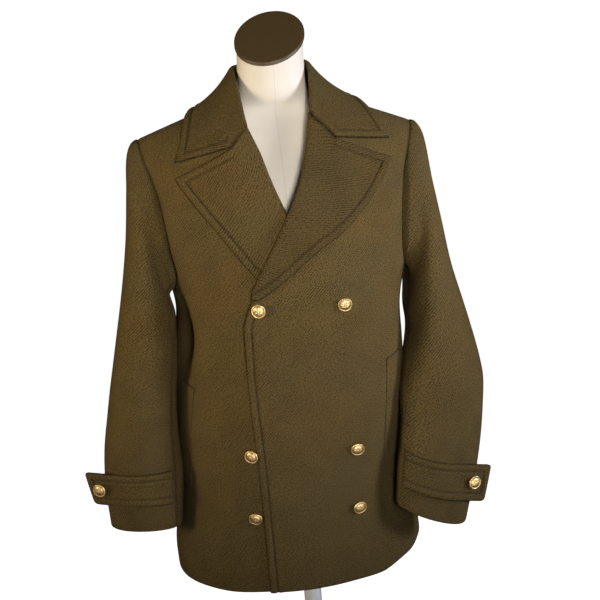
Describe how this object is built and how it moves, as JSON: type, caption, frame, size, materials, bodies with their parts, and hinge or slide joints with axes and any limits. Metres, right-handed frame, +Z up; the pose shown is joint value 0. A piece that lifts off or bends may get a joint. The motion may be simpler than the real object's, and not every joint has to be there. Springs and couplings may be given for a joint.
{
  "type": "double-breasted coat on a dress form",
  "caption": "Hip-length double-breasted wool coat with broad lapels, slit pockets and strapped cuffs, closed on a limbless dress form with a capped neck, pole and round base.",
  "frame": {"origin": "centre of the stand's base, on its underside", "axes": "+Z up, -Y the coat's front, +X the wearer's left"},
  "size_m": [0.6585, 0.3153, 1.1467],
  "materials": {
    "wool": "matt twill",
    "button_metal": "satin gilt",
    "form_cover": "smooth cream cover",
    "cap_wood": "dark satin",
    "stand_metal": "grey satin"
  },
  "bodies": {
    "root": {"back": "wool", "front_left": "wool", "front_right": "wool", "lapel_left": "wool", "lapel_right": "wool", "collar": "wool", "sleeve_upper_left": "wool", "sleeve_upper_right": "wool", "sleeve_under_left": "wool", "sleeve_under_right": "wool", "cuff_strap_left": "wool", "cuff_strap_right": "wool", "pocket_welt_left": "wool", "pocket_welt_right": "wool", "button_1": "button_metal", "button_2": "button_metal", "button_3": "button_metal", "button_4": "button_metal", "button_5": "button_metal", "button_6": "button_metal", "cuff_button_left": "button_metal", "cuff_button_right": "button_metal", "form_body": "form_cover", "form_cap": "cap_wood", "form_pole": "stand_metal", "form_base": "stand_metal"}
  },
  "joints": []
}
